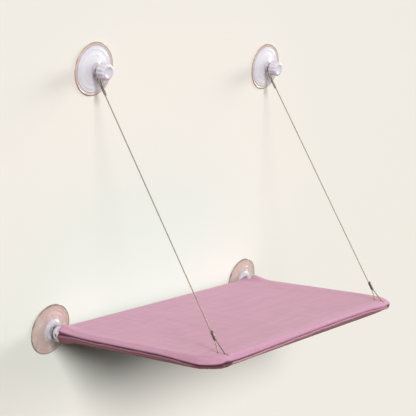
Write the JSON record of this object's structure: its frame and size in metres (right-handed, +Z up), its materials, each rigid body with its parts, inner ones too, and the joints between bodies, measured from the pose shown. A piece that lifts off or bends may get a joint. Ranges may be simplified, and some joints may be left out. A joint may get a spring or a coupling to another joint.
{
  "type": "window mounted cat perch",
  "caption": "Cloth covered bed on a tube frame, hinged to two suction cups on a window and held up in front by wire ropes from two higher cups.",
  "frame": {"origin": "on the glass plane, midway between the axes of the two lower suction cups", "axes": "+X along the window to the right as seen from the room, +Y out through the glass, +Z up; the bed reaches towards -Y"},
  "size_m": [0.585, 0.3167, 0.485],
  "materials": {
    "upper_cup_vinyl": "clear soft vinyl, glossy",
    "lower_cup_vinyl": "clear soft vinyl with a warm tint, glossy",
    "clear_plastic": "moulded translucent plastic",
    "zinc_plated_steel": "turned and zinc plated",
    "brass": "turned",
    "wire_rope": "stranded steel rope",
    "aluminium": "crimped, bright",
    "coated_tube": "powder coated steel tube",
    "cover_cloth": "plain woven polyester canvas",
    "cover_underside": "plain woven polyester canvas"
  },
  "bodies": {
    "root": {"upper_left_suction_cup": "upper_cup_vinyl", "upper_right_suction_cup": "upper_cup_vinyl", "lower_left_suction_cup": "lower_cup_vinyl", "lower_right_suction_cup": "lower_cup_vinyl", "upper_left_stud": "zinc_plated_steel", "upper_right_stud": "zinc_plated_steel", "left_wire_rope": "wire_rope", "right_wire_rope": "wire_rope", "upper_left_ferrule": "aluminium", "upper_right_ferrule": "aluminium", "left_hinge_lug": "zinc_plated_steel", "right_hinge_lug": "zinc_plated_steel", "left_hinge_pin": "zinc_plated_steel", "right_hinge_pin": "zinc_plated_steel"},
    "bed": {"lower_left_ferrule": "aluminium", "lower_right_ferrule": "aluminium", "left_knuckle": "clear_plastic", "right_knuckle": "clear_plastic", "left_side_tube": "coated_tube", "right_side_tube": "coated_tube", "left_corner_bend": "coated_tube", "right_corner_bend": "coated_tube", "front_tube": "coated_tube", "rear_tube": "coated_tube", "cover_top_panel": "cover_cloth", "cover_bottom_panel": "cover_underside", "cover_binding": "cover_underside", "cover_front_flap": "cover_underside"},
    "left_washer": {"upper_left_washer": "zinc_plated_steel"},
    "right_washer": {"upper_right_washer": "zinc_plated_steel"},
    "left_knob": {"upper_left_knob": "clear_plastic", "upper_left_knob_insert": "brass"},
    "right_knob": {"upper_right_knob": "clear_plastic", "upper_right_knob_insert": "brass"}
  },
  "joints": [
    {"name": "bed_fold", "type": "hinge", "parent": "root", "child": "bed", "pos_m": [0, -0.024, 0], "axis": [-1, 0, 0], "range_deg": [0, 70], "deforming": ["left_wire_rope", "right_wire_rope"]},
    {"name": "left_knob_travel", "type": "slide", "parent": "root", "child": "left_washer", "axis": [0, -1, 0], "range_m": [0, 0.003]},
    {"name": "left_knob_turn", "type": "hinge", "parent": "left_washer", "child": "left_knob", "pos_m": [-0.223, -0.023, 0.404], "axis": [0, -1, 0], "range_deg": [0, 720]},
    {"name": "right_knob_travel", "type": "slide", "parent": "root", "child": "right_washer", "axis": [0, -1, 0], "range_m": [0, 0.003]},
    {"name": "right_knob_turn", "type": "hinge", "parent": "right_washer", "child": "right_knob", "pos_m": [0.223, -0.023, 0.404], "axis": [0, -1, 0], "range_deg": [0, 720]}
  ],
  "couplings": [
    {"joint": "left_knob_travel", "follows": "left_knob_turn", "m_per_rad": 0.00023873},
    {"joint": "right_knob_travel", "follows": "right_knob_turn", "m_per_rad": 0.00023873}
  ]
}
